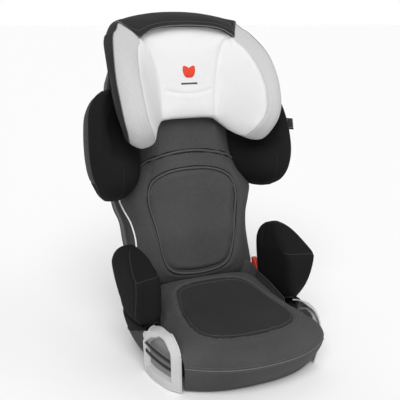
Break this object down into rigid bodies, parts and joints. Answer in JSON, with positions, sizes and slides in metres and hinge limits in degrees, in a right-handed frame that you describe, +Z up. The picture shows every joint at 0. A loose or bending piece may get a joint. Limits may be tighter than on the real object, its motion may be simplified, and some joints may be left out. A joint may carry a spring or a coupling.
{
  "type": "booster seat",
  "caption": "High-back car booster seat with padded base, hip bolsters, a reclining back with shoulder wings, belt hooks and a headrest that slides up.",
  "frame": {"origin": "on the floor, where the ribs under the base cross", "axes": "+Z up, the seated child faces -Y, +X to the left hand of the child"},
  "size_m": [0.4743, 0.5033, 0.6984],
  "materials": {
    "shell_plastic": "fine texture",
    "light_plastic": "satin",
    "red_plastic": "satin",
    "rubber": "matte",
    "steel": "zinc plated",
    "grey_fabric": "knitted melange",
    "black_fabric": "knitted",
    "white_fabric": "fine knit",
    "charcoal_fabric": "spacer mesh"
  },
  "bodies": {
    "base": {"base_shell": "shell_plastic", "grip_pad_front_left": "rubber", "grip_pad_front_right": "rubber", "grip_pad_rear_left": "rubber", "grip_pad_rear_right": "rubber", "recline_axle": "steel", "seat_cushion": "grey_fabric", "seat_skirt": "grey_fabric", "base_side_cover_left": "grey_fabric", "base_side_cover_right": "grey_fabric", "armrest_core_left": "shell_plastic", "armrest_core_right": "shell_plastic", "armrest_pad_left": "black_fabric", "armrest_pad_right": "black_fabric", "side_fairing_left": "light_plastic", "side_fairing_right": "light_plastic", "fairing_strip_upper_left": "rubber", "fairing_strip_upper_right": "rubber", "fairing_strip_lower_left": "rubber", "fairing_strip_lower_right": "rubber", "lap_belt_guide_left": "red_plastic", "lap_belt_guide_right": "red_plastic"},
    "backrest": {"backrest_shell": "shell_plastic", "backrest_pad": "grey_fabric", "height_rack": "steel", "wing_label": "black_fabric", "recline_claw_left": "shell_plastic", "recline_claw_right": "shell_plastic", "claw_arm_left": "shell_plastic", "claw_arm_right": "shell_plastic", "shoulder_wing_pad_left": "black_fabric", "shoulder_wing_pad_right": "black_fabric", "shoulder_wing_shell_left": "shell_plastic", "shoulder_wing_shell_right": "shell_plastic", "headrest_rail_left": "steel", "headrest_rail_right": "steel"},
    "headrest": {"headrest_shell": "shell_plastic", "headrest_bridge": "shell_plastic", "headrest_center_pad": "white_fabric", "headrest_cap": "charcoal_fabric", "headrest_carriage": "shell_plastic", "lever_pin": "steel", "lever_ear_left": "shell_plastic", "lever_ear_right": "shell_plastic", "carriage_screw_left": "steel", "carriage_screw_right": "steel", "headrest_wing_pad_left": "white_fabric", "headrest_wing_pad_right": "white_fabric", "headrest_side_trim_left": "charcoal_fabric", "headrest_side_trim_right": "charcoal_fabric", "shoulder_belt_guide_left": "red_plastic", "shoulder_belt_guide_right": "red_plastic"},
    "release_lever": {"release_lever": "light_plastic"},
    "pull_rod": {"pull_rod": "steel"},
    "lock_bolt": {"lock_bolt": "steel"}
  },
  "joints": [
    {"name": "backrest_recline", "type": "hinge", "parent": "base", "child": "backrest", "pos_m": [0, 0.115, 0.057], "axis": [-1, 0, 0], "range_deg": [0, 18]},
    {"name": "headrest_height", "type": "slide", "parent": "backrest", "child": "headrest", "axis": [0, 0.1908, 0.9816], "range_m": [0, 0.15]},
    {"name": "release_lever", "type": "hinge", "parent": "headrest", "child": "release_lever", "pos_m": [0, 0.25992, 0.64006], "axis": [1, 0, 0], "range_deg": [0, 20], "stiffness_Nm_per_rad": 0.25, "springref_deg": -8.59},
    {"name": "lock_bolt", "type": "slide", "parent": "headrest", "child": "lock_bolt", "axis": [0, 0.9816, -0.1908], "range_m": [0, 0.0061]},
    {"name": "pull_rod", "type": "slide", "parent": "headrest", "child": "pull_rod", "axis": [0, 0.1908, 0.9816], "range_m": [0, 0.0081]}
  ],
  "couplings": [
    {"joint": "lock_bolt", "follows": "release_lever", "m_per_rad": 0.0172},
    {"joint": "pull_rod", "follows": "release_lever", "m_per_rad": 0.0229}
  ]
}
